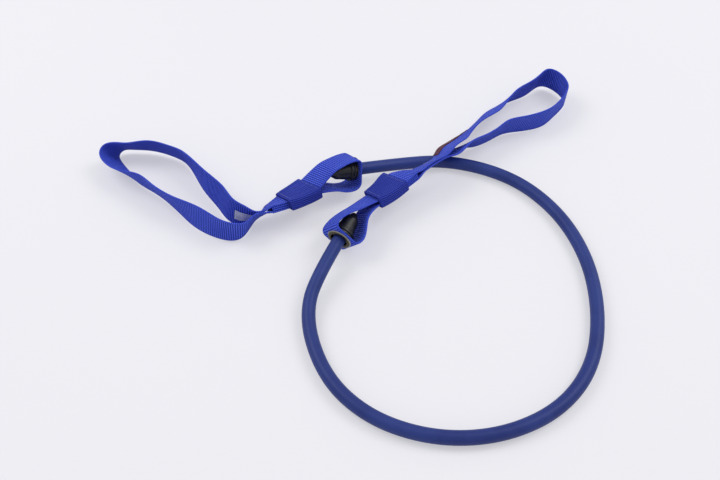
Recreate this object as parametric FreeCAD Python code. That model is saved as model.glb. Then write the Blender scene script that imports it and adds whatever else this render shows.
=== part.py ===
"""Resistance band for exercise: one rubber tube with a webbing handle at each end.

The band lies on a flat surface, which is the plane z = 0. +X runs along its
longest side and +Z points up. The origin is below the middle of the two handles.
At each end the tube goes through a grommet in the small loop of the handle, and
a stopper on the tube's end is too large for the grommet. All sizes are in
millimetres, and all angles in degrees.
"""
import FreeCAD, Part
import math
import os

V = FreeCAD.Vector

# ---- driving dimensions --------------------------------------------------------
TUBE_OD = 11.0
TUBE_BORE = 5.5

STRAP_WIDTH = 25.0
STRAP_THICK = 1.5
LAYER_PITCH = 1.75          # from one layer of the stack to the next
HOLE_IN_STRAP = 15.6
SMALL_LOOP_OPENING = (0.7, 1.1)     # layers from the middle, at the keeper's end
PLACES_TO_A_FACE = 10               # a strap's faces are parted along its length
HAND_LOOP_STOPS = 2                 # thirds of a station short of the keeper's end

KEEPER_LENGTH = 28.0
KEEPER_WALL = 1.4
KEEPER_INSIDE = (27.8, 7.8)
KEEPER_CORNER = 2.3

# places along the tube's axis, measured from the middle of the strap that the
# grommet is set in: plus is out along the tube, minus is into the small loop
GROMMET_FACE = STRAP_THICK / 2 + 0.05
GROMMET_CROWN = GROMMET_FACE + 1.3
GROMMET_LIP = -2.2
GROMMET_BORE = 14.5
GROMMET_BARREL = 15.5
GROMMET_OD = 21.5
GROMMET_WASHER_OD = 17.2
GROMMET_WASHER_FACE = -STRAP_THICK / 2 - 0.16
GROMMET_WASHER_THICK = 0.7

THRUST_OD = 18.5
THRUST_ID = 11.5
THRUST_FACE = -2.6
THRUST_THICK = 1.6

STOPPER_FACE = -4.6
STOPPER_FLANGE_OD = 19.0
STOPPER_FLANGE = 3.0
STOPPER_SHOULDER_OD = 16.5
STOPPER_TAIL_OD = 13.0
STOPPER_CONE = -19.8
STOPPER_TIP_OD = 5.2
STOPPER_TAIL = -27.0
STOPPER_BORE_END = -18.7

TUBE_END = -16.5
PLUG_HEAD_OD = 9.0
PLUG_HEAD = 2.0
PLUG_STEM_OD = 5.4
PLUG_STEM = 14.0

LABEL_THICK = 0.5
LABEL_GAP = 0.1

# ---- how each handle lies ------------------------------------------------------
# A station is (x, y, z, lean, toward): the middle of the strap, how far its width
# leans from upright, and the compass direction that its upper edge leans toward.
# "stack" runs from the fork of the hand loop to the keeper's loop end, and the
# keeper covers its last part. "hand" runs round the hand loop, from one side of
# the fork to the other. "axis" is where the tube leaves: the middle of the
# grommet, the compass direction, the slope, and the turn of the strap's width
# about the tube. "ring" is the outline of the small loop seen along the strap's
# width: (out along the tube, across), from one face of the stack to the other.
LEFT = {
    "stack": (
        (-72, -72.7, 13.5, 29, -66),
        (-66, -69.7, 14, 38, -64),
        (-60, -66.7, 15.5, 46, -62),
        (-53, -63.2, 17, 54, -59),
        (-46, -58.7, 18, 62, -56),
        (-36, -50.7, 17.5, 70, -49),
        (-27, -42.2, 16.5, 74, -42),
    ),
    "hand": (
        (-82, -71.7, 13.5, 7, 14),
        (-93, -65.7, 14, 15, 42),
        (-104, -49.7, 13, 17, 40),
        (-122, -27.7, 13, 7, 14),
        (-140, -3.7, 14, 14, -107),
        (-154, 5.3, 14.5, 21, -103),
        (-174, 11.3, 15.5, 25, -93),
        (-192, 11.3, 15, 33, -94),
        (-202, 11.3, 15, 31, -101),
        (-209.4, 9.3, 12.5, 31, -130),
        (-210.5, 3.3, 10.3, 41, -142),
        (-200.2, -11.7, 10.3, 43, -141),
        (-187, -23.7, 12, 27, -132),
        (-174, -31.7, 13.5, 15, -124),
        (-160, -42.7, 13, 18, -118),
        (-140, -59.7, 13, 8, -107),
        (-120, -74.7, 13.5, 11, 47),
        (-101, -86.7, 13.5, 5, 13),
        (-89, -89.7, 13, 7, -51),
        (-80, -86.7, 13, 17, -61),
    ),
    "axis": (12.3, -21.2, 18, 26, -15, 24),
    "run_out": 37,
    "ring": (
        (-28.5, 4.3), (-22, 7.4), (-15, 9.8), (-9, 11.2), (-4.5, 11.6), (-1.9, 10.9), (-0.5, 9.4),
        (0, 7.5), (0, 3), (0, -1), (0, -5), (0, -9), (-0.5, -11), (-1.9, -13), (-4.5, -14.6), (-9, -15.5),
        (-16, -15), (-25, -13),
    ),
    "blend": (-10, -46),
    "side": -1,
    "raw_end": 2,
    "keeper_shift": 1.2,
    "label": {"from": 13.6, "to": 15.6, "width": 12, "up": 0, "face": -1},
}
RIGHT = {
    "stack": (
        (88, -14.7, 26, 44, -50),
        (80, -21.2, 26, 41, -54),
        (71, -27.7, 25.5, 44, -57),
        (61, -33.7, 24, 55, -56),
        (50, -39.2, 22, 70, -47),
        (40, -49.2, 20, 66, -52),
        (28.5, -58.2, 18, 58, -62),
    ),
    "hand": (
        (96, 2.8, 22, 47, -38),
        (105, 14.8, 18, 48, -32),
        (112.5, 25.8, 15, 41, -42),
        (123, 39.3, 13.5, 34, -39),
        (136, 54.3, 12, 41, -46),
        (145, 65.3, 10.5, 45, -48),
        (156, 76.3, 11.5, 34, -59),
        (168, 86.3, 12.5, 22, -73),
        (181, 94.3, 13.5, 18, -77),
        (192, 103.3, 15.5, 17, -80),
        (200, 107.3, 16, 8, -82),
        (210, 101.3, 15.5, 4, -82),
        (216, 90.3, 14.5, 6, -107),
        (215, 80.3, 14, 7, -90),
        (203, 63.3, 13, 11, -60),
        (190, 51.3, 13, 10, -62),
        (169, 43.3, 13.5, 14, -69),
        (153, 38.3, 14, 17, -68),
        (141, 29.3, 13.5, 22, -58),
        (125, 18.3, 14.5, 27, -52),
        (113, 10.8, 17.5, 38, -50),
        (99, -4.2, 20.5, 50, -50),
    ),
    "axis": (0.3, -102, 19, 242, -7, 130),
    "run_out": 27,
    "ring": (
        (-32, -2.8), (-22, -7.8), (-13, -11.3), (-9, -12.2), (-4.5, -12.6), (-1.9, -11.7), (-0.5, -10),
        (0, -8), (0, -4), (0, 0), (0, 4), (0, 8), (-0.5, 10), (-1.9, 11.9), (-4.5, 13), (-9, 13.4),
        (-18, 10.7), (-30, 6.3),
    ),
    "blend": (-4, -52),
    "side": 1,
    "raw_end": 3,
    "keeper_shift": -1.2,
    "label": {"from": 14.2, "to": 17.8, "width": 14, "up": -8.6, "face": 1},
}

# points of the tube's route between the two grommets, in straight runs from the
# left one to the right one
ROUTE = (
    (98, 3.3, 5.5),
    (153, -17.7, 5.5),
    (188, -58.7, 5.5),
    (205, -110.7, 5.5),
    (205, -164.7, 5.5),
    (192, -214.7, 5.5),
    (162, -251.7, 5.5),
    (117, -272.7, 5.5),
    (68, -274.7, 5.5),
    (22, -257.7, 5.5),
    (-11, -222.7, 5.5),
    (-27, -166.7, 6.5),
)


# ---- directions and places -----------------------------------------------------
def unit(vector):
    return vector / vector.Length


def upright(lean, toward):
    """The direction of a strap's width at a station."""
    tilt = math.radians(lean)
    compass = math.radians(toward)
    return V(math.sin(tilt) * math.cos(compass), math.sin(tilt) * math.sin(compass), math.cos(tilt))


def exit_frame(side):
    """The middle of the grommet, the way out along the tube, and the strap's width there."""
    x, y, z, compass, slope, turn = side["axis"]
    compass, slope, turn = (math.radians(angle) for angle in (compass, slope, turn))
    out = V(math.cos(slope) * math.cos(compass), math.cos(slope) * math.sin(compass), math.sin(slope))
    level = V(math.sin(compass), -math.cos(compass), 0)
    width = level * math.cos(turn) + level.cross(out) * math.sin(turn)
    return V(x, y, z), out, width


def stack_stations(side):
    return [(V(x, y, z), upright(lean, toward)) for x, y, z, lean, toward in side["stack"]]


class Lay:
    """A strap's middle line and the line that its upright directions draw beside it."""

    def __init__(self, stations):
        middles = [place for place, width in stations]
        tips = [place + unit(width) * STRAP_WIDTH / 2 for place, width in stations]
        self.knots = [0.0]
        for first, second in zip(middles, middles[1:]):
            self.knots.append(self.knots[-1] + math.sqrt((second - first).Length))
        self.middle = Part.BSplineCurve()
        self.middle.interpolate(Points=middles, Parameters=self.knots)
        self.tip = Part.BSplineCurve()
        self.tip.interpolate(Points=tips, Parameters=self.knots)

    def at(self, place):
        """The middle, the direction along, across the width, and out of the face."""
        middle = self.middle.value(place)
        along = unit(self.middle.getD1(place)[1])
        width = unit(self.tip.value(place) - middle)
        return middle, along, width, unit(along.cross(width))

    def places(self, first=0, last=-1, steps=2):
        """Parameters from one station to another, with some between each pair."""
        knots = self.knots[first:] if last == -1 else self.knots[first:last + 1]
        inner = [a + (b - a) * k / steps for a, b in zip(knots, knots[1:]) for k in range(steps)]
        return inner + [knots[-1]]

    def between(self, first, last, steps=6):
        """Evenly spaced parameters between two places counted in stations."""
        ends = []
        for count in (first, last):
            whole = int(count)
            ends.append(self.knots[whole] + (self.knots[whole + 1] - self.knots[whole]) * (count - whole))
        return [ends[0] + (ends[1] - ends[0]) * k / steps for k in range(steps + 1)]


def layer(side, layers, first, opening=()):
    """Stations of one layer of the stack from a station on, so many layers from its middle."""
    lay = Lay(stack_stations(side))
    places = lay.places(first, steps=3)
    if first == 1:
        places = lay.knots[:1] + places
    counts = [abs(layers)] * (len(places) - len(opening)) + list(opening)
    moved = []
    for place, count in zip(places, counts):
        middle, along, width, face = lay.at(place)
        away = math.copysign(count, layers) * side["side"] * LAYER_PITCH
        moved.append((middle + face * away, width))
    return moved


def hand_lay(side):
    free = [(V(x, y, z), upright(lean, toward)) for x, y, z, lean, toward in side["hand"]]
    over = layer(side, 1.5, 1)[:-HAND_LOOP_STOPS]
    under = layer(side, -1.5, 1)[:-HAND_LOOP_STOPS]
    return Lay(over[::-1] + free + under)


def anchor_lay(side):
    centre, out, width = exit_frame(side)
    across = width.cross(out)
    keeper_width = stack_stations(side)[-1][1]
    flat, reach = side["blend"]
    ring = []
    for along, over in side["ring"]:
        turn = min(max((along - flat) / (reach - flat), 0), 1)
        blend = unit(width * (1 - turn) + keeper_width * turn)
        ring.append((centre + out * along + across * over, blend))
    over = layer(side, 0.5, side["raw_end"], SMALL_LOOP_OPENING)
    under = layer(side, -0.5, side["raw_end"], SMALL_LOOP_OPENING)
    return Lay(over + ring + under[::-1])


# ---- shapes --------------------------------------------------------------------
def ruled(first, second):
    """The face between two lines that share their knots."""
    surface = Part.BSplineSurface()
    surface.buildFromPolesMultsKnots(
        [list(pair) for pair in zip(first.getPoles(), second.getPoles())],
        first.getMultiplicities(), (2, 2), first.getKnots(), (0, 1), False, False, first.Degree, 1,
    )
    return surface.toShape()


def strap(lay, places, width=STRAP_WIDTH, thick=STRAP_THICK, up=0.0, off=0.0):
    """A flat strap along a lay: four long corner lines, with a ruled face between each two."""
    stations = [lay.at(place) for place in places]
    lines = []
    for a, b in ((1, 1), (1, -1), (-1, -1), (-1, 1)):
        points = [
            middle + rung * (up + a * width / 2) + face * (off + b * thick / 2)
            for middle, along, rung, face in stations
        ]
        line = Part.BSplineCurve()
        line.interpolate(Points=points, Parameters=places)
        lines.append(line)
    faces = []
    for first in range(0, len(places) - 1, PLACES_TO_A_FACE):
        last = min(first + PLACES_TO_A_FACE, len(places) - 1)
        runs = []
        for line in lines:
            run = line.copy()
            run.segment(places[first], places[last])
            runs.append(run)
        faces += [ruled(one, next_one) for one, next_one in zip(runs, runs[1:] + runs[:1])]
    start = [line.value(places[0]) for line in lines]
    finish = [line.value(places[-1]) for line in lines[::-1]]
    for corners in (start, finish):
        faces.append(Part.Face(Part.makePolygon(corners + corners[:1])))
    shell = Part.makeShell(faces)
    shell.sewShape()
    return Part.makeSolid(shell)


def rounded_section(middle, rung, face, width, height, corner):
    """A closed wire: a rectangle with round corners."""
    flat_w = width / 2 - corner
    flat_h = height / 2 - corner
    edges = []
    quarter = ((1, 1), (-1, 1), (-1, -1), (1, -1))
    diagonal = corner * math.sqrt(0.5)
    ends = []
    for a, b in quarter:
        hub = middle + rung * (a * flat_w) + face * (b * flat_h)
        on_width = hub + rung * (a * corner)
        on_face = hub + face * (b * corner)
        via = hub + rung * (a * diagonal) + face * (b * diagonal)
        ends.append((on_width, via, on_face) if a * b > 0 else (on_face, via, on_width))
    for k in range(4):
        start, via, stop = ends[k]
        edges.append(Part.Arc(start, via, stop).toShape())
        edges.append(Part.LineSegment(stop, ends[(k + 1) % 4][0]).toShape())
    return Part.Wire(edges)


def keeper(side):
    """A flat sleeve of webbing round the stack, next to the small loop."""
    lay = Lay(stack_stations(side))
    end = lay.knots[-1]
    start = lay.middle.parameterAtDistance(-KEEPER_LENGTH, end)
    steps = 5
    shells = []
    for grow, over in ((KEEPER_WALL, 0.0), (0.0, 0.04)):
        sections = []
        for k in range(steps + 1):
            place = start + (end - start) * (k / steps * (1 + 2 * over) - over)
            middle, along, rung, face = lay.at(min(place, end))
            if k == 0:
                middle = middle - along * over * 10
            if k == steps:
                middle = middle + along * over * 10
            middle = middle + rung * side["keeper_shift"]
            sections.append(rounded_section(
                middle, rung, face,
                KEEPER_INSIDE[0] + 2 * grow, KEEPER_INSIDE[1] + 2 * grow, KEEPER_CORNER - KEEPER_WALL + grow,
            ))
        shells.append(Part.makeLoft(sections, True, False))
    return shells[0].cut(shells[1])


def turned(points, side):
    """A closed profile (radius, place along the axis) turned about the tube's axis."""
    centre, out, width = exit_frame(side)
    edges = []
    for k, point in enumerate(points):
        following = points[(k + 1) % len(points)]
        if len(point) == 3:
            continue
        if len(following) == 3:
            end = points[(k + 2) % len(points)]
            edges.append(Part.Arc(V(point[0], 0, point[1]), V(following[0], 0, following[1]),
                                  V(end[0], 0, end[1])).toShape())
        else:
            edges.append(Part.LineSegment(V(point[0], 0, point[1]), V(following[0], 0, following[1])).toShape())
    solid = Part.Face(Part.Wire(edges)).revolve(V(0, 0, 0), V(0, 0, 1), 360)
    solid.Placement = FreeCAD.Placement(centre, FreeCAD.Rotation(width, out.cross(width), out, "ZXY"))
    return solid


def grommet(side):
    bore = GROMMET_BORE / 2
    barrel = GROMMET_BARREL / 2
    rim = GROMMET_OD / 2
    under = GROMMET_FACE
    seat = GROMMET_WASHER_FACE - GROMMET_WASHER_THICK
    lip = barrel + 1.1
    return turned([
        (bore, GROMMET_LIP + 0.5),
        (bore, GROMMET_CROWN - 0.7),
        (bore + 0.35, GROMMET_CROWN - 0.2, "arc"),
        (bore + 1.2, GROMMET_CROWN),
        (rim - 1.4, GROMMET_CROWN - 0.15, "arc"),
        (rim, under),
        (barrel, under),
        (barrel, seat),
        (lip, seat),
        (lip - 0.35, GROMMET_LIP + 0.1, "arc"),
        (barrel + 0.2, GROMMET_LIP),
        (bore + 0.15, GROMMET_LIP + 0.15, "arc"),
    ], side)


def grommet_washer(side):
    near = GROMMET_WASHER_FACE
    far = near - GROMMET_WASHER_THICK
    inner = GROMMET_BARREL / 2 + 0.05
    outer = GROMMET_WASHER_OD / 2
    return turned([(inner, far), (outer - 0.2, far), (outer, far + 0.2), (outer, near), (inner, near)], side)


def thrust_washer(side):
    near = THRUST_FACE
    far = THRUST_FACE - THRUST_THICK
    inner = THRUST_ID / 2
    outer = THRUST_OD / 2
    edge = 0.3
    return turned([
        (inner, far), (outer - edge, far), (outer, far + edge),
        (outer, near - edge), (outer - edge, near), (inner, near),
    ], side)


def stopper(side):
    bore = TUBE_OD / 2 + 0.05
    face = STOPPER_FACE
    rim = STOPPER_FLANGE_OD / 2
    back = face - STOPPER_FLANGE
    shoulder = STOPPER_SHOULDER_OD / 2
    tail = STOPPER_TAIL_OD / 2
    tip = STOPPER_TIP_OD / 2
    end = STOPPER_TAIL
    return turned([
        (bore, face),
        (rim - 0.5, face),
        (rim, face - 0.5),
        (rim, back + 0.5),
        (rim - 0.5, back),
        (shoulder, back),
        (tail, STOPPER_CONE),
        (tip, end + 0.8),
        (tip - 0.3, end + 0.2, "arc"),
        (tip - 1, end),
        (0, end),
        (0, STOPPER_BORE_END),
        (bore, STOPPER_BORE_END),
    ], side)


def tube_plug(side):
    stem = PLUG_STEM_OD / 2
    head = PLUG_HEAD_OD / 2
    butt = TUBE_END - 0.05
    return turned([
        (0, butt - PLUG_HEAD),
        (head - 0.3, butt - PLUG_HEAD),
        (head, butt - PLUG_HEAD + 0.3),
        (head, butt),
        (stem, butt),
        (stem, butt + PLUG_STEM - 1),
        (stem - 1, butt + PLUG_STEM),
        (0, butt + PLUG_STEM),
    ], side)


def anchor_loop(side):
    """The small loop, with a round hole for the grommet in its flat end."""
    lay = anchor_lay(side)
    centre, out, width = exit_frame(side)
    hole = Part.makeCylinder(HOLE_IN_STRAP / 2, 3 * STRAP_THICK, centre - out * 1.5 * STRAP_THICK, out)
    return strap(lay, lay.places()).cut(hole)


def label(side):
    """A thin sewn-in label against one face of the hand loop, near the fork."""
    tag = side["label"]
    lay = hand_lay(side)
    off = tag["face"] * (STRAP_THICK / 2 + LABEL_GAP + LABEL_THICK / 2)
    return strap(lay, lay.between(tag["from"], tag["to"]), tag["width"], LABEL_THICK, tag["up"], off)


def tube_route():
    first, first_out, width = exit_frame(LEFT)
    last, last_out, width = exit_frame(RIGHT)
    route = [first + first_out * TUBE_END, first + first_out * LEFT["run_out"]]
    route += [V(*point) for point in ROUTE]
    return route + [last + last_out * RIGHT["run_out"], last + last_out * TUBE_END]


def tube_path(route):
    """Straight runs joined by tangent arcs, each as large as its runs allow."""
    edges = []
    start = route[0]
    radii = []
    for before, corner, after in zip(route, route[1:], route[2:]):
        inward = unit(before - corner)
        outward = unit(after - corner)
        turn = math.pi - inward.getAngle(outward)
        setback = 0.45 * min((before - corner).Length, (after - corner).Length)
        radius = setback / math.tan(turn / 2)
        radii.append(radius)
        middle = corner + unit(inward + outward) * (radius / math.cos(turn / 2) - radius)
        begin = corner + inward * setback
        finish = corner + outward * setback
        edges.append(Part.LineSegment(start, begin).toShape())
        edges.append(Part.Arc(begin, middle, finish).toShape())
        start = finish
    edges.append(Part.LineSegment(start, route[-1]).toShape())
    return Part.Wire(edges), radii


def tube():
    path, radii = tube_path(tube_route())
    start = path.Edges[0]
    heading = start.tangentAt(start.FirstParameter)
    solids = []
    for diameter in (TUBE_OD, TUBE_BORE):
        ring = Part.Wire(Part.makeCircle(diameter / 2, path.OrderedVertexes[0].Point, heading))
        solids.append(path.makePipeShell([ring], True, False))
    hollow = solids[0].cut(solids[1])
    section = math.pi * (TUBE_OD ** 2 - TUBE_BORE ** 2) / 4
    print("tube length %.1f, volume / (section x length) %.5f" % (
        path.Length, hollow.Volume / (section * path.Length)))
    print("tube radii", " ".join("%.0f" % radius for radius in radii))
    return hollow


# ---- the assembly --------------------------------------------------------------
def handle(side):
    hand = hand_lay(side)
    return {
        "hand_loop": strap(hand, hand.places()),
        "anchor_loop": anchor_loop(side),
        "keeper": keeper(side),
        "grommet": grommet(side),
        "grommet_washer": grommet_washer(side),
        "thrust_washer": thrust_washer(side),
        "stopper": stopper(side),
        "tube_plug": tube_plug(side),
        "label": label(side),
    }


def main():
    os.makedirs("parts", exist_ok=True)
    pieces = {"tube": tube()}
    for name, side in (("left", LEFT), ("right", RIGHT)):
        for piece, shape in handle(side).items():
            pieces[name + "_" + piece] = shape
    for node, shape in pieces.items():
        box = shape.BoundBox
        print("%-22s %s solids %d volume %.0f x %.1f %.1f y %.1f %.1f z %.2f %.2f" % (
            node, shape.isValid(), len(shape.Solids), shape.Volume,
            box.XMin, box.XMax, box.YMin, box.YMax, box.ZMin, box.ZMax))
        shape.exportStep("parts/" + node + ".step")


main()
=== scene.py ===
"""Looks of the resistance band: a hollow rubber tube with a webbing handle at each end.

The band lies on a flat floor at z = 0. Each handle is a hand loop and a small loop of
webbing, sewn together in a stack with a keeper round it, and the small loop holds the
grommet. Every strap is a flat section carried along a lay: a cubic line through
stations, each of which gives the middle of the strap and the lean of its width. The
tube is one smooth cord between the two grommets, and its stoppers sit in the small
loops. Sizes in the tables are in millimetres and angles in degrees, and every piece is
made in metres in the frame of the assembly.
"""
import bpy
import math
import numpy as np
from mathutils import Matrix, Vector


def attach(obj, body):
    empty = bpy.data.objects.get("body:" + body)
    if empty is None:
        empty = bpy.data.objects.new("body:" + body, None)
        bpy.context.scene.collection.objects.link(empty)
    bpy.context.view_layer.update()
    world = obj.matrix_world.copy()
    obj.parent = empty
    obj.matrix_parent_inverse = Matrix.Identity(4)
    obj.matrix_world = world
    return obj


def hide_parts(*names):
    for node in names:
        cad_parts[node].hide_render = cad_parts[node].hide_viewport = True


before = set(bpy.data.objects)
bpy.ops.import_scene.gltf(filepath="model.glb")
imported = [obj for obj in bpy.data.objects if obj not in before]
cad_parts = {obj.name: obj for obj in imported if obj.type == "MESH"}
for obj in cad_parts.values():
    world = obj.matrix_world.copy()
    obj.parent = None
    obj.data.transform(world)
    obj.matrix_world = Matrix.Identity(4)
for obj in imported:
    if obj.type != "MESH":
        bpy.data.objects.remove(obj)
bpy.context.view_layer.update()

MM = 0.001

# ---- sizes ---------------------------------------------------------------------
TUBE_OD = 11.0
TUBE_END = -16.5
STRAP_WIDTH = 25.0
STRAP_THICK = 1.5
LAYER_PITCH = 1.75
HOLE_IN_STRAP = 15.6
SMALL_LOOP_OPENING = (0.7, 1.1)
HAND_LOOP_STOPS = 2
KEEPER_LENGTH = 28.0
KEEPER_WALL = 1.4
KEEPER_INSIDE = (27.8, 7.8)
KEEPER_CORNER = 2.3
LABEL_THICK = 0.5
LABEL_GAP = 0.1

# how many layers a hand strand lies from the stack's middle: pressed together, and
# parted by the two raw ends of the small loop
PRESSED, PARTED = 0.56, 1.5

# from row to row of each mesh, along its strap
HAND_LOOP_STEP = 1.1
SMALL_LOOP_STEP = 0.8
KEEPER_STEP = 0.9
LABEL_STEP = 0.6
FINE_STEP = 0.25

# a strap's faces are crowned by this much, and its edges are rounded by this share
# of its thickness
FACE_CROWN = 0.03
EDGE_SHARE = 0.42

# the keeper's creases: ridge to ridge, depth, and how far they sway
CREASE_PITCH = 5.4
CREASE_DEPTH = 0.42
CREASE_SWAY = 0.5
KEEPER_SAG = 0.10

# stitches as length, width and height
STACK_STITCH = (2.1, 0.55, 0.38)
KEEPER_STITCH = (2.1, 0.5, 0.34)
LABEL_STITCH = (1.4, 0.35, 0.22)
LOOSE_THREAD = (3.6, 0.55, 0.5)

# the stack's seams: spacing, distance from the strap's edge, the station they start
# at, and the share of the stack that they run to
SEAM_PITCH = 2.6
SEAM_INSET = 3.0
SEAM_STARTS = 1.1
SEAM_ENDS = 0.52
TACK_STATION = 1.2
TACK_REACH = 10.5
TACK_TURNS = 22
TACK_SLANT = 0.35

# rows of stitches on keepers and labels: distance from the end, half length, count
KEEPER_ROW_INSET = 2.2
KEEPER_ROW_REACH = 12.4
KEEPER_ROW_COUNT = 10
LABEL_ROW_SHARES = (0.06, 0.94)
LABEL_ROW_MARGIN = 1.2
LABEL_ROW_COUNT = 7

# ---- how each handle lies ------------------------------------------------------
# A station is (x, y, z, lean, toward). "stack" runs from the fork of the hand loop
# to the keeper, "hand" round the hand loop, "axis" is the grommet's middle with the
# tube's direction, slope and the turn of the strap about it, and "ring" is the
# outline of the small loop as (out along the tube, across).
LEFT = {
    "stack": (
        (-72, -72.7, 13.5, 29, -66),
        (-66, -69.7, 14, 38, -64),
        (-60, -66.7, 15.5, 46, -62),
        (-53, -63.2, 17, 54, -59),
        (-46, -58.7, 18, 62, -56),
        (-36, -50.7, 17.5, 70, -49),
        (-27, -42.2, 16.5, 74, -42),
    ),
    "hand": (
        (-82, -71.7, 13.5, 7, 14),
        (-93, -65.7, 14, 15, 42),
        (-104, -49.7, 13, 17, 40),
        (-122, -27.7, 13, 7, 14),
        (-140, -3.7, 14, 14, -107),
        (-154, 5.3, 14.5, 21, -103),
        (-174, 11.3, 15.5, 25, -93),
        (-192, 11.3, 15, 33, -94),
        (-202, 11.3, 15, 31, -101),
        (-209.4, 9.3, 12.5, 31, -130),
        (-210.5, 3.3, 10.3, 41, -142),
        (-200.2, -11.7, 10.3, 43, -141),
        (-187, -23.7, 12, 27, -132),
        (-174, -31.7, 13.5, 15, -124),
        (-160, -42.7, 13, 18, -118),
        (-140, -59.7, 13, 8, -107),
        (-120, -74.7, 13.5, 11, 47),
        (-101, -86.7, 13.5, 5, 13),
        (-89, -89.7, 13, 7, -51),
        (-80, -86.7, 13, 17, -61),
    ),
    "axis": (12.3, -21.2, 18, 26, -15, 24),
    "run_out": 37,
    "ring": (
        (-28.5, 4.3), (-22, 7.4), (-15, 9.8), (-9, 11.2), (-4.5, 11.6), (-1.9, 10.9), (-0.5, 9.4),
        (0, 7.5), (0, 3), (0, -1), (0, -5), (0, -9), (-0.5, -11), (-1.9, -13), (-4.5, -14.6), (-9, -15.5),
        (-16, -15), (-25, -13),
    ),
    "blend": (-10, -46),
    "side": -1,
    "raw_end": 2,
    "keeper_shift": 1.2,
    "label": {"from": 13.6, "to": 15.6, "width": 12, "up": 0, "face": -1},
}
RIGHT = {
    "stack": (
        (88, -14.7, 26, 44, -50),
        (80, -21.2, 26, 41, -54),
        (71, -27.7, 25.5, 44, -57),
        (61, -33.7, 24, 55, -56),
        (50, -39.2, 22, 70, -47),
        (40, -49.2, 20, 66, -52),
        (28.5, -58.2, 18, 58, -62),
    ),
    "hand": (
        (96, 2.8, 22, 47, -38),
        (105, 14.8, 18, 48, -32),
        (112.5, 25.8, 15, 41, -42),
        (123, 39.3, 13.5, 34, -39),
        (136, 54.3, 12, 41, -46),
        (145, 65.3, 10.5, 45, -48),
        (156, 76.3, 11.5, 34, -59),
        (168, 86.3, 12.5, 22, -73),
        (181, 94.3, 13.5, 18, -77),
        (192, 103.3, 15.5, 17, -80),
        (200, 107.3, 16, 8, -82),
        (210, 101.3, 15.5, 4, -82),
        (216, 90.3, 14.5, 6, -107),
        (215, 80.3, 14, 7, -90),
        (203, 63.3, 13, 11, -60),
        (190, 51.3, 13, 10, -62),
        (169, 43.3, 13.5, 14, -69),
        (153, 38.3, 14, 17, -68),
        (141, 29.3, 13.5, 22, -58),
        (125, 18.3, 14.5, 27, -52),
        (113, 10.8, 17.5, 38, -50),
        (99, -4.2, 20.5, 50, -50),
    ),
    "axis": (0.3, -102, 19, 242, -7, 130),
    "run_out": 27,
    "ring": (
        (-32, -2.8), (-22, -7.8), (-13, -11.3), (-9, -12.2), (-4.5, -12.6), (-1.9, -11.7), (-0.5, -10),
        (0, -8), (0, -4), (0, 0), (0, 4), (0, 8), (-0.5, 10), (-1.9, 11.9), (-4.5, 13), (-9, 13.4),
        (-18, 10.7), (-30, 6.3),
    ),
    "blend": (-4, -52),
    "side": 1,
    "raw_end": 3,
    "keeper_shift": -1.2,
    "label": {"from": 14.2, "to": 17.8, "width": 14, "up": -8.6, "face": 1},
}

# points of the tube's route between the two grommets, in straight runs from the
# left one to the right one
ROUTE = (
    (98, 3.3, 5.5),
    (153, -17.7, 5.5),
    (188, -58.7, 5.5),
    (205, -110.7, 5.5),
    (205, -164.7, 5.5),
    (192, -214.7, 5.5),
    (162, -251.7, 5.5),
    (117, -272.7, 5.5),
    (68, -274.7, 5.5),
    (22, -257.7, 5.5),
    (-11, -222.7, 5.5),
    (-27, -166.7, 6.5),
)

# the labels as they are seen: the white one narrower than its solid and a little lower,
# the red one on the near face of its strap and narrower
WHITE_LABEL = dict(LEFT["label"], width=9.4, up=-1.3)
RED_LABEL = dict(RIGHT["label"], width=8.4, up=-9.6, face=-1)


# ---- camera --------------------------------------------------------------------
def put(obj):
    """Puts an object in the scene."""
    bpy.context.scene.collection.objects.link(obj)
    return obj


CAMERA_PLACE = Vector((0.017, -0.5475, 0.548))
CAMERA_TARGET = Vector((0.017, -0.0877, 0.0))

camera = put(bpy.data.objects.new("camera", bpy.data.cameras.new("camera")))
camera.data.lens = 42.1
camera.data.sensor_width = 36.0
camera.location = CAMERA_PLACE
camera.rotation_euler = (CAMERA_TARGET - CAMERA_PLACE).to_track_quat("-Z", "Y").to_euler()
bpy.context.scene.camera = camera


# ---- directions and places -----------------------------------------------------
def unit(rows):
    """Each row divided by its length."""
    rows = np.asarray(rows, float)
    return rows / np.linalg.norm(rows, axis=-1, keepdims=True)


def stations(table):
    """Middles, and width directions: upright leant by an angle toward a compass direction."""
    table = np.array(table, float)
    lean, toward = np.radians(table[:, 3]), np.radians(table[:, 4])
    width = np.stack([np.sin(lean) * np.cos(toward), np.sin(lean) * np.sin(toward), np.cos(lean)], 1)
    return table[:, :3], width


def exit_frame(side):
    """The middle of the grommet, the way out along the tube, the strap's width and across it."""
    x, y, z, compass, slope, turn = side["axis"]
    compass, slope, turn = np.radians((compass, slope, turn))
    out = np.array([np.cos(slope) * np.cos(compass), np.cos(slope) * np.sin(compass), np.sin(slope)])
    level = np.array([np.sin(compass), -np.cos(compass), 0.0])
    width = level * np.cos(turn) + np.cross(level, out) * np.sin(turn)
    return np.array([x, y, z]), out, width, np.cross(width, out)


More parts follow.
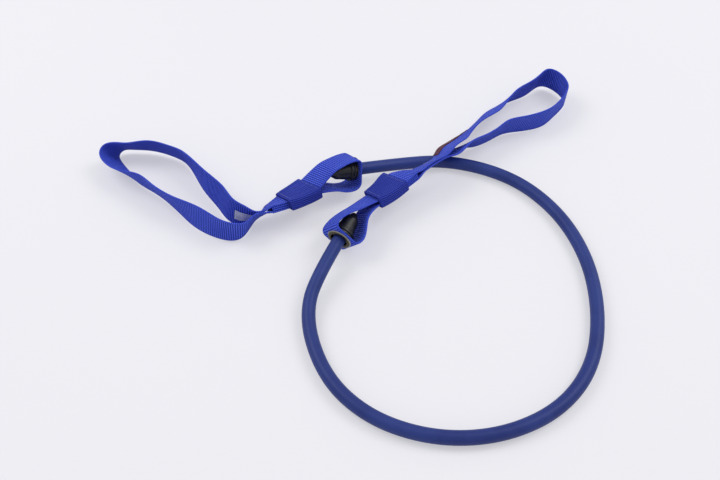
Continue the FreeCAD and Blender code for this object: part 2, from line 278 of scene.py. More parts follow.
def bends(knots, points):
    """Second derivatives of the cubic line through points at knots.

    The line's slope is continuous, and at each end it is the slope of the parabola
    through the three nearest points.
    """
    step = np.diff(knots)
    rise = np.diff(points, axis=0) / step[:, None]
    count = len(knots)
    grid = np.zeros((count, count))
    right = np.zeros(points.shape)
    inner = np.arange(1, count - 1)
    grid[inner, inner - 1] = step[:-1]
    grid[inner, inner] = 2 * (step[:-1] + step[1:])
    grid[inner, inner + 1] = step[1:]
    right[1:-1] = 6 * (rise[1:] - rise[:-1])
    start = rise[0] - step[0] * (rise[1] - rise[0]) / (step[0] + step[1])
    finish = rise[-1] + step[-1] * (rise[-1] - rise[-2]) / (step[-1] + step[-2])
    grid[0, :2] = 2 * step[0], step[0]
    grid[-1, -2:] = step[-1], 2 * step[-1]
    right[0] = 6 * (rise[0] - start)
    right[-1] = 6 * (finish - rise[-1])
    return np.linalg.solve(grid, right)


def along_line(knots, points, curve, places):
    """The cubic line's points and slopes at many places."""
    k = np.clip(np.searchsorted(knots, places, side="right") - 1, 0, len(knots) - 2)
    step = (knots[k + 1] - knots[k])[:, None]
    a = (knots[k + 1] - places)[:, None] / step
    b = 1 - a
    bow = (a ** 3 - a) * curve[k] + (b ** 3 - b) * curve[k + 1]
    spot = a * points[k] + b * points[k + 1] + step ** 2 / 6 * bow
    slope = (points[k + 1] - points[k]) / step
    slope = slope + step / 6 * ((1 - 3 * a ** 2) * curve[k] + (3 * b ** 2 - 1) * curve[k + 1])
    return spot, slope


class Lay:
    """A strap's middle line and the line that its width directions draw beside it."""

    def __init__(self, middles, widths):
        self.middles = np.asarray(middles, float)
        self.tips = self.middles + unit(widths) * STRAP_WIDTH / 2
        chord = np.linalg.norm(np.diff(self.middles, axis=0), axis=1)
        self.knots = np.concatenate([[0.0], np.cumsum(np.sqrt(chord))])
        self.middle_bends = bends(self.knots, self.middles)
        self.tip_bends = bends(self.knots, self.tips)

    def at(self, places):
        """The middle, the direction along, across the width, and out of the face."""
        places = np.atleast_1d(np.asarray(places, float))
        middle, slope = along_line(self.knots, self.middles, self.middle_bends, places)
        tip = along_line(self.knots, self.tips, self.tip_bends, places)[0]
        along = unit(slope)
        width = unit(tip - middle)
        return middle, along, width, unit(np.cross(along, width))

    def counted(self, count):
        """The parameter at a place counted in stations."""
        return float(np.interp(count, np.arange(len(self.knots)), self.knots))

    def even(self, start, finish, pitch):
        """Parameters from one to another, evenly spaced along the line, and the distances."""
        fine = np.linspace(start, finish, 4000)
        spots = along_line(self.knots, self.middles, self.middle_bends, fine)[0]
        run = np.concatenate([[0.0], np.cumsum(np.linalg.norm(np.diff(spots, axis=0), axis=1))])
        distance = np.linspace(0, run[-1], max(3, int(run[-1] / pitch) + 1))
        return np.interp(distance, run, fine), distance


def stack_lay(side):
    """The middle of the sewn stack, from the fork to the keeper's far mouth."""
    return Lay(*stations(side["stack"]))


def strands_out(side, lay, places):
    """How many layers a hand strand lies from the middle: pressed together before the raw ends."""
    meeting = [lay.counted(side["raw_end"] - 0.67), lay.counted(side["raw_end"])]
    return np.interp(places, meeting, [PRESSED, PARTED])


def layer(side, layers, first, opening=()):
    """Stations of one layer of the stack from a station on, so many layers from its middle."""
    lay = stack_lay(side)
    knots = lay.knots[first:]
    thirds = [a + (b - a) * np.array([1, 2, 3]) / 3 for a, b in zip(knots, knots[1:])]
    places = np.concatenate([knots[:1]] + thirds)
    if first == 1:
        places = np.concatenate([lay.knots[:1], places])
    counts = np.full(len(places), abs(layers))
    if first == 1:
        counts = strands_out(side, lay, places)
    counts[len(places) - len(opening):] = opening
    middle, _, width, face = lay.at(places)
    away = math.copysign(1, layers) * side["side"] * LAYER_PITCH * counts
    return middle + face * away[:, None], width


def hand_lay(side):
    """The hand loop: out of the stack's upper side, round the hand, and into its lower side."""
    middles, widths = stations(side["hand"])
    over, over_width = (rows[:-HAND_LOOP_STOPS] for rows in layer(side, PARTED, 1))
    under, under_width = (rows[:-HAND_LOOP_STOPS] for rows in layer(side, -PARTED, 1))
    return Lay(
        np.concatenate([over[::-1], middles, under]),
        np.concatenate([over_width[::-1], widths, under_width]),
    )


def anchor_lay(side):
    """The small loop: its width turns from the grommet's to the keeper's along the ring."""
    centre, out, width, across = exit_frame(side)
    keeper_width = stations(side["stack"])[1][-1]
    flat, reach = side["blend"]
    ring = np.array(side["ring"], float)
    turn = np.clip((ring[:, :1] - flat) / (reach - flat), 0, 1)
    middles = centre + out * ring[:, :1] + across * ring[:, 1:]
    widths = unit(width * (1 - turn) + keeper_width * turn)
    over, over_width = layer(side, 0.5, side["raw_end"], SMALL_LOOP_OPENING)
    under, under_width = layer(side, -0.5, side["raw_end"], SMALL_LOOP_OPENING)
    return Lay(
        np.concatenate([over, middles, under[::-1]]),
        np.concatenate([over_width, widths, under_width[::-1]]),
    )


# ---- meshes --------------------------------------------------------------------
def grid_mesh(name, points, uv, ring_rows=False, caps=True, smooth=True):
    """A mesh from a grid of rows of points, closed within each row, in millimetres.

    Rows follow the path and columns go round the section. With ring_rows the last
    row joins the first; otherwise each end gets a cap. The mesh is turned
    outward by the sign of its volume.
    """
    rows, columns = points.shape[:2]
    row = np.arange(rows if ring_rows else rows - 1)[:, None]
    column = np.arange(columns)[None, :]
    after = (row + 1) % rows
    beside = (column + 1) % columns
    quads = np.stack([
        row * columns + column, row * columns + beside, after * columns + beside, after * columns + column,
    ], axis=-1).reshape(-1, 4)
    flat = points.reshape(-1, 3)
    a, b, c, d = (flat[quads[:, k]] for k in range(4))
    volume = np.sum(np.cross(a, b) * c) + np.sum(np.cross(a, c) * d)
    faces = quads.tolist()
    if caps and not ring_rows:
        faces.append(list(range(columns))[::-1])
        faces.append(list(range((rows - 1) * columns, rows * columns)))
    if volume < 0:
        faces = [face[::-1] for face in faces]
    mesh = bpy.data.meshes.new(name)
    mesh.from_pydata((flat * MM).tolist(), [], faces)
    order = np.zeros(len(mesh.loops), int)
    mesh.loops.foreach_get("vertex_index", order)
    layer_uv = mesh.uv_layers.new(name="lay")
    layer_uv.data.foreach_set("uv", (uv.reshape(-1, 2)[order] * MM).ravel())
    mesh.polygons.foreach_set("use_smooth", np.full(len(mesh.polygons), smooth))
    mesh.update()
    mesh.validate()
    return put(bpy.data.objects.new(name, mesh))


def flat_section(width, thick, across=15):
    """The outline of webbing: two faces, very slightly crowned, with rounded edges."""
    radius = EDGE_SHARE * thick
    side_angle = np.radians(np.linspace(90, -90, 7))[1:-1]
    reach = width / 2 - radius
    face = np.linspace(-reach, reach, across)
    crown = thick / 2 - FACE_CROWN * (face / reach) ** 2
    edge_a = reach + radius * np.cos(side_angle)
    edge_b = (thick / 2 - FACE_CROWN) * np.sin(side_angle)
    a = np.concatenate([face, edge_a, face[::-1], -edge_a])
    b = np.concatenate([crown, edge_b, -crown[::-1], -edge_b])
    return a, b


def webbing(name, lay, start, finish, pitch, width=STRAP_WIDTH, thick=STRAP_THICK, up=0.0, off=0.0):
    """A flat section carried along a lay: middle + width direction times a + face direction times b."""
    places, distance = lay.even(start, finish, pitch)
    middle, _, rung, face = lay.at(places)
    a, b = flat_section(width, thick)
    points = (
        middle[:, None]
        + rung[:, None] * (up + a)[None, :, None]
        + face[:, None] * (off + b)[None, :, None]
    )
    uv = np.stack(np.broadcast_arrays(distance[:, None], a[None, :]), axis=-1)
    return grid_mesh(name, points, uv)


def sleeve(name, side):
    """A flat closed sleeve: a rounded outline carried along the stack, outside and back inside.

    Its two broad faces have shallow creases along the handle: a cosine across the face,
    5.4 mm from ridge to ridge, that sways by half a millimetre and fades at the edges.
    """
    lay = stack_lay(side)
    finish = lay.knots[-1]
    places, distance = lay.even(0.0, finish, FINE_STEP)
    start = float(np.interp(distance[-1] - KEEPER_LENGTH, distance, places))
    places, distance = lay.even(start, finish, KEEPER_STEP)
    middle, _, rung, face = lay.at(places)
    middle = middle + rung * side["keeper_shift"]

    def outline(grow):
        """A rectangle with round corners that grow with it, and the distance around it."""
        corner = KEEPER_CORNER - KEEPER_WALL + grow
        half_a = KEEPER_INSIDE[0] / 2 + grow
        half_b = KEEPER_INSIDE[1] / 2 + grow
        per_side, per_corner = 44, 6
        a, b = [], []
        for k, (sa, sb) in enumerate(((1, 1), (-1, 1), (-1, -1), (1, -1))):
            angle = np.radians(90 * k + np.linspace(0, 90, per_corner))
            a.append(sa * (half_a - corner) + corner * np.cos(angle))
            b.append(sb * (half_b - corner) + corner * np.sin(angle))
            if k % 2 == 0:
                run = np.linspace(1, -1, per_side + 2)[1:-1] * sa
                a.append(run * (half_a - corner))
                b.append(np.full(per_side, sb * half_b))
            else:
                run = np.linspace(1, -1, 7)[1:-1] * sb
                a.append(np.full(5, sa * half_a))
                b.append(run * (half_b - corner))
        a, b = np.concatenate(a), np.concatenate(b)
        past_a, past_b = np.abs(a) - (half_a - corner), np.abs(b) - (half_b - corner)
        turned = np.where(past_a > 1e-6, np.arctan2(past_a, np.maximum(past_b, 0)), 0)
        around = half_a - corner + np.minimum(past_a, 0) + corner * turned + np.maximum(-past_b, 0)
        return a, b, np.sign(a) * around

    def rows(grow, which):
        a, b, around = outline(grow)
        share = distance[which] / KEEPER_LENGTH
        broad = (np.abs(b) > 4)[None, :]
        sag = KEEPER_SAG * np.cos(share * 2 * np.pi)[:, None] * broad
        sway = CREASE_SWAY * np.sin(share * np.pi)[:, None]
        crease = 0.5 - 0.5 * np.cos(2 * np.pi * (a[None, :] + sway) / CREASE_PITCH)
        fade = np.clip((KEEPER_INSIDE[0] / 2 - 1.2 - np.abs(a)) / 1.5, 0, 1)
        sag = sag - CREASE_DEPTH * crease * fade[None, :] * broad
        b = b[None, :] + np.sign(b)[None, :] * sag * (grow > 1)
        across = rung[which][:, None] * a[None, :, None]
        body = middle[which][:, None] + across + face[which][:, None] * b[..., None]
        return body, np.broadcast_to(around, b.shape)

    everywhere = np.arange(len(places))
    outer, outer_a = rows(KEEPER_WALL, everywhere)
    inner, inner_a = rows(0.0, everywhere[::-1])
    lip_start, lip_a = rows(KEEPER_WALL - 0.35, everywhere[:1])
    lip_end, lip_b = rows(KEEPER_WALL - 0.35, everywhere[-1:])
    outer[0] -= (outer[0] - outer[1]) * 0.5
    outer[-1] -= (outer[-1] - outer[-2]) * 0.5
    points = np.concatenate([lip_start, outer, lip_end, inner])
    run = np.concatenate([distance[:1], distance, distance[-1:], distance[::-1]])
    across = np.concatenate([lip_a, outer_a, lip_b, inner_a])
    uv = np.stack([across, np.broadcast_to(run[:, None] - KEEPER_LENGTH / 2, across.shape)], axis=-1)
    return grid_mesh(name, points, uv, ring_rows=True)


def stitch_rows(name, spots, heading, normal, length, width, height):
    """Stitches as low rounded beads: an ellipsoid grid on each spot, along its heading."""
    spots = np.asarray(spots, float)
    heading, normal = unit(heading), unit(normal)
    beside = np.cross(normal, heading)
    polar = np.linspace(0, np.pi, 6)
    round_about = np.linspace(0, 2 * np.pi, 9)[:-1]
    x = np.broadcast_to(np.cos(polar)[:, None], (6, 8)) * length / 2
    y = np.sin(polar)[:, None] ** 0.6 * np.cos(round_about) * width / 2
    z = np.sin(polar)[:, None] ** 0.6 * np.sin(round_about) * height / 2
    shape = np.stack([x, y, z], axis=-1).reshape(-1, 3)
    verts = (
        spots[:, None] + heading[:, None] * shape[None, :, :1]
        + beside[:, None] * shape[None, :, 1:2] + normal[:, None] * shape[None, :, 2:]
    )
    row, column = np.meshgrid(np.arange(5), np.arange(8), indexing="ij")
    beside_column = (column + 1) % 8
    quads = np.stack([
        row * 8 + column, row * 8 + beside_column, (row + 1) * 8 + beside_column, (row + 1) * 8 + column,
    ], axis=-1).reshape(-1, 4)
    faces = (quads[None] + 48 * np.arange(len(spots))[:, None, None]).reshape(-1, 4)
    mesh = bpy.data.meshes.new(name)
    mesh.from_pydata((verts.reshape(-1, 3) * MM).tolist(), [], faces.tolist())
    mesh.polygons.foreach_set("use_smooth", np.full(len(mesh.polygons), True))
    mesh.update()
    tidy(mesh)
    return put(bpy.data.objects.new(name, mesh))


def tidy(mesh):
    """Merges doubled points and turns every face outward."""
    import bmesh
    work = bmesh.new()
    work.from_mesh(mesh)
    bmesh.ops.remove_doubles(work, verts=work.verts, dist=1e-6)
    bmesh.ops.recalc_face_normals(work, faces=work.faces)
    work.to_mesh(mesh)
    work.free()


# ---- materials -----------------------------------------------------------------
class Sock:
    """A shader value that arithmetic can be written with."""

    def __init__(self, tree, socket):
        self.tree, self.socket = tree, socket

    def math(self, operation, *others, swap=False):
        """This value and others through one Math node."""
        node = self.tree.nodes.new("ShaderNodeMath")
        node.operation = operation
        values = [self] + list(others)
        if swap:
            values = values[::-1]
        for slot, value in zip(node.inputs, values):
            if isinstance(value, Sock):
                self.tree.links.new(value.socket, slot)
            else:
                slot.default_value = value
        return Sock(self.tree, node.outputs[0])

    def __add__(self, other):
        return self.math("ADD", other)

    __radd__ = __add__

    def __mul__(self, other):
        return self.math("MULTIPLY", other)

    __rmul__ = __mul__

    def __sub__(self, other):
        return self.math("SUBTRACT", other)

    def __rsub__(self, other):
        return self.math("SUBTRACT", other, swap=True)

    def __truediv__(self, other):
        return self.math("DIVIDE", other)

    def wave(self):
        """Half of one plus the cosine of so many whole turns."""
        return (self * (2 * math.pi)).math("COSINE") * 0.5 + 0.5

    def ramp(self, low, high):
        """0 below low, 1 above high, smooth between."""
        node = self.tree.nodes.new("ShaderNodeMapRange")
        node.interpolation_type = "SMOOTHSTEP"
        self.tree.links.new(self.socket, node.inputs["Value"])
        node.inputs["From Min"].default_value = low
        node.inputs["From Max"].default_value = high
        return Sock(self.tree, node.outputs["Result"])


class Finish:
    """A material: one Principled shader, with helpers for coordinates, noise and colour."""

    def __init__(self, name, **constants):
        self.material = bpy.data.materials.new(name)
        self.material.use_nodes = True
        self.tree = self.material.node_tree
        self.shader = self.tree.nodes["Principled BSDF"]
        for label, value in constants.items():
            self.shader.inputs[label.replace("_", " ")].default_value = value
        self.place = self.tree.nodes.new("ShaderNodeTexCoord")

    def lay(self):
        """Metres along the strap and metres across it."""
        node = self.tree.nodes.new("ShaderNodeSeparateXYZ")
        self.tree.links.new(self.place.outputs["UV"], node.inputs[0])
        return Sock(self.tree, node.outputs[0]), Sock(self.tree, node.outputs[1])

    def noise(self, scale, detail, stretch=None, uv=False):
        """Soft noise from 0 to 1, in the object's metres or in the strap's."""
        node = self.tree.nodes.new("ShaderNodeTexNoise")
        node.inputs["Scale"].default_value = scale
        node.inputs["Detail"].default_value = detail
        source = self.place.outputs["UV" if uv else "Object"]
        if stretch:
            mapping = self.tree.nodes.new("ShaderNodeMapping")
            mapping.inputs["Scale"].default_value = stretch
            self.tree.links.new(source, mapping.inputs["Vector"])
            source = mapping.outputs[0]
        self.tree.links.new(source, node.inputs["Vector"])
        return Sock(self.tree, node.outputs["Fac"])

    def blend(self, amount, first, second):
        """A colour between two colours, or colour sockets."""
        node = self.tree.nodes.new("ShaderNodeMix")
        node.data_type = "RGBA"
        self.tree.links.new(amount.socket, node.inputs["Factor"])
        for label, value in (("A", first), ("B", second)):
            slot = next(s for s in node.inputs if s.name == label and s.type == "RGBA")
            if isinstance(value, Sock):
                self.tree.links.new(value.socket, slot)
            else:
                slot.default_value = (*value, 1.0)
        return Sock(self.tree, next(s for s in node.outputs if s.type == "RGBA"))

    def from_axis(self, centre, out):
        """Metres from the line through a point along a direction."""
        source = self.place.outputs["Object"]
        for operation, vector in (("SUBTRACT", centre), ("CROSS_PRODUCT", out)):
            node = self.tree.nodes.new("ShaderNodeVectorMath")
            node.operation = operation
            self.tree.links.new(source, node.inputs[0])
            node.inputs[1].default_value = vector
            source = node.outputs[0]
        node = self.tree.nodes.new("ShaderNodeVectorMath")
        node.operation = "LENGTH"
        self.tree.links.new(source, node.inputs[0])
        return Sock(self.tree, node.outputs["Value"])

    def set(self, label, value):
        """Links a value to one of the shader's sockets."""
        self.tree.links.new(value.socket, self.shader.inputs[label])

    def bump(self, height, distance, strength):
        node = self.tree.nodes.new("ShaderNodeBump")
        node.inputs["Strength"].default_value = strength
        node.inputs["Distance"].default_value = distance
        self.tree.links.new(height.socket, node.inputs["Height"])
        self.tree.links.new(node.outputs[0], self.shader.inputs["Normal"])


def srgb(red, green, blue):
    """A colour written as 0 to 255 turned to linear light."""
    value = np.array([red, green, blue]) / 255
    light = np.where(value < 0.04045, value / 12.92, ((value + 0.055) / 1.055) ** 2.4)
    return tuple(float(v) for v in light)


# metres from a strap's edge at which its bound cord begins and is whole
EDGE_CORD = (0.0013, 0.0008)

# metres from the grommet's axis at which brass gives way to plating
PLATING_FROM = (0.0098, 0.0102)


def webbing_finish(name, dark, middle, light, rib, yarn, half_width):
    """Flat weave: rounded ribs across the strap, nudged from yarn to yarn, with bound edges.

    height = crown of the rib x crown of the yarn, where the rib's place moves by a
    seventh of its pitch on every other yarn; the two edges are plain bound cords.
    """
    finish = Finish(name, Roughness=0.75, Specular_IOR_Level=0.16)
    along, across = finish.lay()
    column = across / yarn
    stepped = column.math("FLOOR").math("PINGPONG", 1.0)
    yarn_crown = (column + 0.5).wave().math("POWER", 0.6)
    rib_crown = (along / rib + stepped * 0.14).wave()
    edge = across.math("ABSOLUTE").ramp(half_width * MM - EDGE_CORD[0], half_width * MM - EDGE_CORD[1])
    weave = rib_crown * (yarn_crown * 0.35 + 0.65)
    edge_cord = (along / (rib * 0.8)).wave() * 0.4 + 0.2
    height = weave * (1.0 - edge) + edge_cord * edge
    fibres = finish.noise(1.0, 4.0, (900.0, 5200.0, 1.0), uv=True)
    patches = finish.noise(38.0, 2.0)
    # colour from height: the weave's hollows and the lower edge cords take the dark colour as painted
    # shade; fibres add random tone
    shade = height * 0.72 + fibres * 0.4 - 0.06
    colour = finish.blend(shade.ramp(0.08, 0.7), dark, middle)
    # painted highlight on the weave's crowns, mixed with random paler patches of yarn
    crown_light_and_patches = (height * 0.55 + fibres * 0.5 + patches * 0.5 - 0.35).ramp(0.3, 0.95)
    colour = finish.blend(crown_light_and_patches, colour, light)
    finish.set("Base Color", colour)
    finish.set("Roughness", 0.84 - 0.14 * height + 0.1 * (fibres - 0.5))
    finish.bump(height + fibres * 0.3, 0.0004, 0.9)
    return finish.material


def rubber_finish():
    """Dipped latex: smooth, with a soft bloom in long patches, faint runs and fine specks."""
    finish = Finish("tube_rubber", Specular_IOR_Level=0.3)
    bloom = finish.noise(26.0, 3.0)
    runs = finish.noise(90.0, 2.0)
    specks = finish.noise(2600.0, 2.0)
    colour = finish.blend(bloom.ramp(0.3, 0.72), srgb(26, 43, 110), srgb(36, 55, 124))
    pale = specks.ramp(0.66, 0.75) * 0.35 + runs.ramp(0.55, 0.75) * 0.12
    colour = finish.blend(pale, colour, srgb(56, 74, 142))
    finish.set("Base Color", colour)
    finish.set("Roughness", 0.40 + 0.14 * bloom + 0.05 * specks)
    finish.bump(runs + specks * 0.12, 0.00025, 0.5)
    return finish.material


def metal_finish(name, bright, dull, roughness, dull_share):
    """Plated sheet metal: fine scratches, and a duller film in patches."""
    finish = Finish(name, Metallic=1.0)
    film = finish.noise(420.0, 4.0)
    scratch = finish.noise(1.0, 2.0, (5200.0, 420.0, 2600.0))
    colour = finish.blend(film.ramp(dull_share - 0.15, dull_share + 0.2), bright, dull)
    finish.set("Base Color", colour)
    finish.set("Roughness", roughness + 0.18 * film + 0.08 * (scratch - 0.5))
    finish.bump(scratch + film * 0.6, 0.00006, 0.35)
    return finish.material


def grommet_finish(name, side):
    """A pressed eyelet: plated grey on the flange, turning to a dark brass colour toward the bore."""
    finish = Finish(name, Metallic=1.0)
    centre, out = exit_frame(side)[:2]
    reach = finish.from_axis(tuple(centre * MM), tuple(out))
    film = finish.noise(420.0, 4.0)
    # dark brass colour close to the bore, plated grey farther out
    bore_blend = (reach + (film - 0.5) * 0.0006).ramp(*PLATING_FROM)
    colour = finish.blend(bore_blend, (0.06, 0.05, 0.028), (0.27, 0.27, 0.245))
    colour = finish.blend(film.ramp(0.5, 0.75) * 0.5, colour, (0.12, 0.11, 0.08))
    finish.set("Base Color", colour)
    finish.set("Roughness", 0.26 + 0.2 * film)
    finish.bump(film, 0.00005, 0.35)
    return finish.material


def plastic_finish(name, low, high, roughness):
    """Moulded plastic: a fine grain, a little uneven gloss and pale rubbed patches."""
    finish = Finish(name, Specular_IOR_Level=0.45)
    rubbed = finish.noise(180.0, 4.0)
    grain = finish.noise(3800.0, 2.0)
    finish.set("Base Color", finish.blend(rubbed.ramp(0.45, 0.8), low, high))
    finish.set("Roughness", roughness + 0.16 * (rubbed - 0.5) + 0.08 * (grain - 0.5))
    finish.bump(grain + rubbed * 0.5, 0.00008, 0.4)
    return finish.material


def satin_finish(name, low, high, width):
    """A woven satin label: fine cross lines, folded edges with painted shade along the fold, and a little
    soiling.
    """
    finish = Finish(name, Specular_IOR_Level=0.2)
    along, across = finish.lay()
    lines = (across / 0.00032).wave()
    warp = (along / 0.0005).wave()
    fold = across.math("ABSOLUTE").ramp(width * MM / 2 - 0.0011, width * MM / 2 - 0.0007)
    soil = finish.noise(240.0, 4.0)
    # the fold term darkens the folded edges: painted shade along the fold
    shade = lines * 0.35 + warp * 0.2 + soil * 0.6 - fold * 0.25
    finish.set("Base Color", finish.blend(shade.ramp(0.2, 0.85), low, high))
    finish.set("Roughness", 0.5 + 0.2 * soil)
    finish.bump(lines * 0.5 + warp * 0.4 + fold * 1.5, 0.00015, 0.6)
    return finish.material


def thread_finish(name, low, high):
    """Sewing thread: fine uneven fibres."""
    finish = Finish(name, Roughness=0.6, Sheen_Weight=0.3)
    plies = finish.noise(2400.0, 3.0)
    finish.set("Base Color", finish.blend(plies.ramp(0.35, 0.65), low, high))
    finish.bump(plies, 0.0001, 0.6)
    return finish.material


# in each webbing the first colour is the strap in shade and the last the lit strap: painted shade in the
# weave's hollows, painted highlight on its crowns
blue_webbing = webbing_finish(
    "blue_webbing", srgb(26, 39, 134), srgb(63, 84, 208), srgb(98, 120, 242),
    rib=0.0019, yarn=0.0014, half_width=STRAP_WIDTH / 2,
)
keeper_webbing = webbing_finish(
    "keeper_webbing", srgb(18, 29, 112), srgb(42, 56, 158), srgb(64, 82, 192),
    rib=0.0018, yarn=0.0015, half_width=KEEPER_LENGTH / 2,
)
tube_rubber = rubber_finish()
left_plating = grommet_finish("plated_grommet", LEFT)
right_plating = grommet_finish("plated_grommet_right", RIGHT)
brass_washer = metal_finish("brass_washer", (0.30, 0.26, 0.15), (0.12, 0.10, 0.06), 0.35, 0.5)
dark_washer = plastic_finish("dark_washer", (0.02, 0.02, 0.022), (0.06, 0.06, 0.06), 0.4)
black_stopper = plastic_finish("black_stopper", (0.008, 0.008, 0.009), (0.028, 0.028, 0.03), 0.42)
black_plug = plastic_finish("black_plug", (0.012, 0.012, 0.012), (0.03, 0.03, 0.03), 0.5)
white_label = satin_finish("white_label", srgb(176, 180, 196), srgb(226, 228, 236), WHITE_LABEL["width"])
red_label = satin_finish("red_label", srgb(46, 6, 24), srgb(96, 18, 46), RED_LABEL["width"])
blue_thread = thread_finish("blue_thread", srgb(34, 44, 118), srgb(84, 102, 186))
pale_thread = thread_finish("pale_thread", srgb(170, 176, 200), srgb(222, 224, 236))


# ---- the tube ------------------------------------------------------------------
def cord_curve(name, route, radius, resolution=24):
    """One smooth spline with the route's points as its control points, and a round bevel."""
    curve = bpy.data.curves.new(name, "CURVE")
    curve.dimensions = "3D"
    spline = curve.splines.new("NURBS")
    spline.points.add(len(route) - 1)
    spline.points.foreach_set("co", np.concatenate([route * MM, np.ones((len(route), 1))], axis=1).ravel())
    spline.order_u = 3
    spline.use_endpoint_u = True
    spline.resolution_u = resolution
    curve.resolution_u = resolution
    curve.bevel_depth = radius * MM
    curve.bevel_resolution = 8
    curve.use_fill_caps = True
    return put(bpy.data.objects.new(name, curve))


def tube_route():
    """The tube's route: straight out of each stopper to its run-out, and the ring between."""
    first, first_out = exit_frame(LEFT)[:2]
    last, last_out = exit_frame(RIGHT)[:2]
    return np.array([
        first + first_out * TUBE_END, first + first_out * LEFT["run_out"], *ROUTE,
        last + last_out * RIGHT["run_out"], last + last_out * TUBE_END,
    ])


tube = cord_curve("tube_body", tube_route(), TUBE_OD / 2)
tube.data.materials.append(tube_rubber)
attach(tube, "band")
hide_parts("tube")


# ---- the handles ---------------------------------------------------------------
def dress(piece, body, material, node=None):
    """Gives a piece its material and the body it moves with, and hides the solid of the node it stands
    for.
    """
    piece.data.materials.clear()
    piece.data.materials.append(material)
    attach(piece, body)
    if node:
        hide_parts(node)


def punch(piece, side):
    """Cuts the grommet's round hole through the small loop."""
    centre, out, width, across = exit_frame(side)
    sides, depth = 64, 3.2
    turn = np.linspace(0, 2 * np.pi, sides + 1)[:-1]
    ring = (width * np.cos(turn)[:, None] + across * np.sin(turn)[:, None]) * HOLE_IN_STRAP / 2
    points = centre + out * np.array([-depth, depth])[:, None, None] + ring[None]
    cutter = grid_mesh("hole", points, np.zeros((2, sides, 2)))
    cut = piece.modifiers.new("hole", "BOOLEAN")
    cut.operation = "DIFFERENCE"
    cut.solver = "EXACT"
    cut.object = cutter
    bpy.context.view_layer.update()
    ready = piece.evaluated_get(bpy.context.evaluated_depsgraph_get())
    mesh = bpy.data.meshes.new_from_object(ready)
    piece.modifiers.clear()
    piece.data = mesh
    bpy.data.objects.remove(cutter)


def stack_top(side, lay, places):
    """Half the stack's depth at places, and a hair for the thread."""
    return strands_out(side, lay, places) * LAYER_PITCH + STRAP_THICK / 2 + 0.08


def seam_rows(side, lay, start, finish, rows, pitch):
    """Running stitches along the stack: one each pitch, at so far across, on either face."""
    places = lay.even(start, finish, pitch)[0]
    middle, along, rung, face = lay.at(places)
    spots, headings, normals = [], [], []
    top = stack_top(side, lay, places)[:, None]
    for across, sign in rows:
        spots.append(middle + rung * across + face * top * sign)
        headings.append(along)
        normals.append(face * sign)
    return np.concatenate(spots), np.concatenate(headings), np.concatenate(normals)


def bar_tack(side, lay, place, reach, turns):
    """A close zigzag across the strap: stitches slant to and fro along a line of its width."""
    middle, along, rung, face = lay.at(place)
    step = np.linspace(-reach, reach, turns)
    slant = np.where(np.arange(turns) % 2 == 0, 1.0, -1.0)[:, None]
    spots, headings, normals = [], [], []
    top = float(stack_top(side, lay, place))
    for sign in (-1, 1):
        spots.append(middle + rung * step[:, None] + face * top * sign)
        headings.append(along + rung * slant * TACK_SLANT)
        normals.append(np.broadcast_to(face * sign, (turns, 3)))
    return np.concatenate(spots), np.concatenate(headings), np.concatenate(normals)


def joined(*groups):
    """Spots, headings and normals of several groups of stitches, end to end."""
    return [np.concatenate(parts) for parts in zip(*groups)]


def stitching(name, side):
    """The sewing that holds the stack: a row near each edge, and a tack at the fork."""
    lay = stack_lay(side)
    seam = STRAP_WIDTH / 2 - SEAM_INSET
    last = float(np.interp(SEAM_ENDS, (0, 1), (lay.knots[0], lay.knots[-1])))
    lines = [(across, sign) for across in (-seam, seam) for sign in (-1, 1)]
    rows = seam_rows(side, lay, lay.counted(SEAM_STARTS), last, lines, SEAM_PITCH)
    tack = bar_tack(side, lay, lay.counted(TACK_STATION), TACK_REACH, TACK_TURNS)
    thread = stitch_rows(name + "_stack_stitching", *joined(rows, tack), *STACK_STITCH)
    dress(thread, name + "_handle", blue_thread)


def keeper_stitching(name, side):
    """A row of stitches across each broad face of the keeper near its two mouths."""
    lay = stack_lay(side)
    places, distance = lay.even(0.0, lay.knots[-1], FINE_STEP)
    top = KEEPER_INSIDE[1] / 2 + KEEPER_WALL + 0.06
    groups = []
    shape = (KEEPER_ROW_COUNT, 3)
    for back in (KEEPER_ROW_INSET, KEEPER_LENGTH - KEEPER_ROW_INSET):
        place = float(np.interp(distance[-1] - back, distance, places))
        middle, _, rung, face = lay.at(place)
        step = np.linspace(-KEEPER_ROW_REACH, KEEPER_ROW_REACH, KEEPER_ROW_COUNT)[:, None]
        for off in (-top, top):
            groups.append((
                middle + rung * (side["keeper_shift"] + step) + face * off,
                np.broadcast_to(rung, shape), np.broadcast_to(face * np.sign(off), shape),
            ))
    thread = stitch_rows(name + "_keeper_stitching", *joined(*groups), *KEEPER_STITCH)
    dress(thread, name + "_handle", blue_thread)


def label_piece(name, side, tag, material, thread):
    """A thin label on the hand loop's face, with a row of stitches at each end."""
    lay = hand_lay(side)
    start, finish = (lay.counted(tag[key]) for key in ("from", "to"))
    off = tag["face"] * (STRAP_THICK / 2 + LABEL_GAP + LABEL_THICK / 2)
    piece = webbing(
        name + "_label_cloth", lay, start, finish, LABEL_STEP, tag["width"], LABEL_THICK, tag["up"], off)
    dress(piece, name + "_handle", material, name + "_label")
    face_off = off + tag["face"] * (LABEL_THICK / 2 + 0.05)
    reach = tag["width"] / 2 - LABEL_ROW_MARGIN
    shape = (LABEL_ROW_COUNT, 3)
    groups = []
    for share in LABEL_ROW_SHARES:
        middle, _, rung, face = lay.at(start + (finish - start) * share)
        step = np.linspace(-reach, reach, LABEL_ROW_COUNT)[:, None]
        groups.append((
            middle + rung * (tag["up"] + step) + face * face_off,
            np.broadcast_to(rung, shape), np.broadcast_to(face * tag["face"], shape),
        ))
    rows = stitch_rows(name + "_label_stitching", *joined(*groups), *LABEL_STITCH)
    dress(rows, name + "_handle", thread)


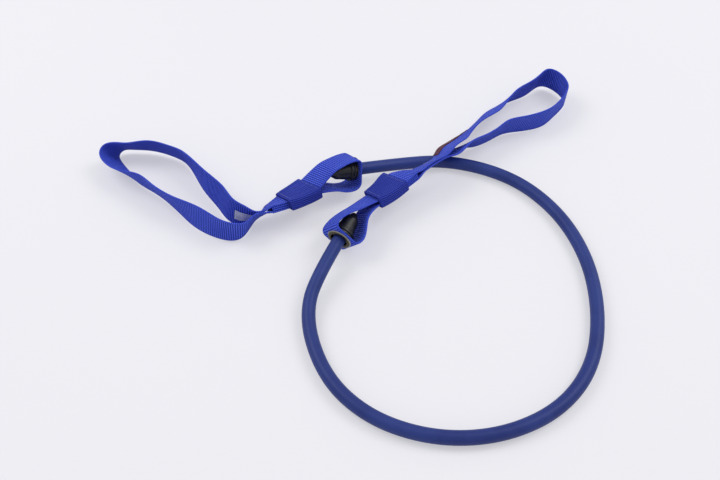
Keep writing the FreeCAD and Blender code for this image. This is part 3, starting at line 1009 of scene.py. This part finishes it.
def handle(name, side):
    """One handle's webbing and thread: hand loop, small loop, keeper and their sewing."""
    body = name + "_handle"
    hand = hand_lay(side)
    loop = webbing(name + "_hand_webbing", hand, 0.0, hand.knots[-1], HAND_LOOP_STEP)
    dress(loop, body, blue_webbing, name + "_hand_loop")
    anchor = anchor_lay(side)
    small = webbing(name + "_small_loop_webbing", anchor, 0.0, anchor.knots[-1], SMALL_LOOP_STEP)
    punch(small, side)
    dress(small, body, blue_webbing, name + "_anchor_loop")
    dress(sleeve(name + "_keeper_sleeve", side), body, keeper_webbing, name + "_keeper")
    stitching(name, side)
    keeper_stitching(name, side)


handle("left", LEFT)
handle("right", RIGHT)
label_piece("left", LEFT, WHITE_LABEL, white_label, pale_thread)
label_piece("right", RIGHT, RED_LABEL, red_label, blue_thread)

# a loose end of thread at the left fork: two stitches end to end near the strap's lower edge
fork = hand_lay(LEFT)
middle, along, rung, face = fork.at(np.array([fork.counted(13.3), fork.counted(13.75)]))
loose_spots = middle - rung * 8.5 - face * 1.3
loose_thread = stitch_rows("left_loose_thread", loose_spots, along, -face, *LOOSE_THREAD)
dress(loose_thread, "left_handle", pale_thread)

# the pieces that keep their own solid's mesh
for name, plating in (("left", left_plating), ("right", right_plating)):
    for node, material in (
        ("grommet", plating), ("grommet_washer", brass_washer), ("thrust_washer", dark_washer),
        ("stopper", black_stopper), ("tube_plug", black_plug),
    ):
        part = bpy.data.objects[name + "_" + node]
        part.data.materials.clear()
        part.data.materials.append(material)

# ---- floor, light --------------------------------------------------------------
# the share of the floor's brightness, as seen, that shadows leave alone
FLOOR_GLOW = 0.5
FLOOR_REACH = 6
FLOOR_LEVEL = -0.0004
LAMP_TARGET = (0.0, -0.02, 0.0)
LAMP_SIZE = 0.9
LAMP_POWER = 9.0

corners = [(-1, -1), (1, -1), (1, 1), (-1, 1)]
floor_mesh = bpy.data.meshes.new("floor")
floor_mesh.from_pydata(
    [(x * FLOOR_REACH, y * FLOOR_REACH, FLOOR_LEVEL) for x, y in corners], [], [(0, 1, 2, 3)])
floor = put(bpy.data.objects.new("floor", floor_mesh))
paper = Finish("floor_paper", Roughness=0.85, Specular_IOR_Level=0.2)
cloud = paper.noise(1.4, 2.0)
paper.set("Base Color", paper.blend(cloud.ramp(0.2, 0.8), (0.79, 0.785, 0.82), (0.82, 0.815, 0.845)))
wires, nodes = paper.tree.links, paper.tree.nodes
glow = nodes.new("ShaderNodeEmission")
glow.inputs["Color"].default_value = (0.846, 0.838, 0.882, 1.0)
rays = nodes.new("ShaderNodeLightPath").outputs
kinds = ("Is Camera Ray", "Is Glossy Ray", "Is Transmission Ray")
seen = sum(Sock(paper.tree, rays[kind]) for kind in kinds)
mix = nodes.new("ShaderNodeMixShader")
surface = next(node for node in nodes if node.type == "OUTPUT_MATERIAL").inputs["Surface"]
wires.new((seen.math("MINIMUM", 1.0) * FLOOR_GLOW).socket, mix.inputs["Fac"])
wires.new(surface.links[0].from_socket, mix.inputs[1])
wires.new(glow.outputs["Emission"], mix.inputs[2])
wires.new(mix.outputs["Shader"], surface)
floor.data.materials.append(paper.material)

world = bpy.data.worlds.new("studio")
bpy.context.scene.world = world
world.use_nodes = True
sky = world.node_tree.nodes["Background"]
sky.inputs["Color"].default_value = (0.97, 0.975, 1.0, 1.0)
sky.inputs["Strength"].default_value = 0.66


def lamp(name, place):
    """A round soft lamp at a place, turned to the band."""
    light = bpy.data.lights.new(name, "AREA")
    light.shape = "DISK"
    light.size = LAMP_SIZE
    light.energy = LAMP_POWER
    obj = put(bpy.data.objects.new(name, light))
    obj.location = place
    obj.rotation_euler = (Vector(LAMP_TARGET) - Vector(place)).to_track_quat("-Z", "Y").to_euler()


lamp("key", (-1.0, 0.25, 1.3))
lamp("fill", (1.0, 0.25, 1.3))

bpy.context.scene.view_settings.view_transform = "Standard"
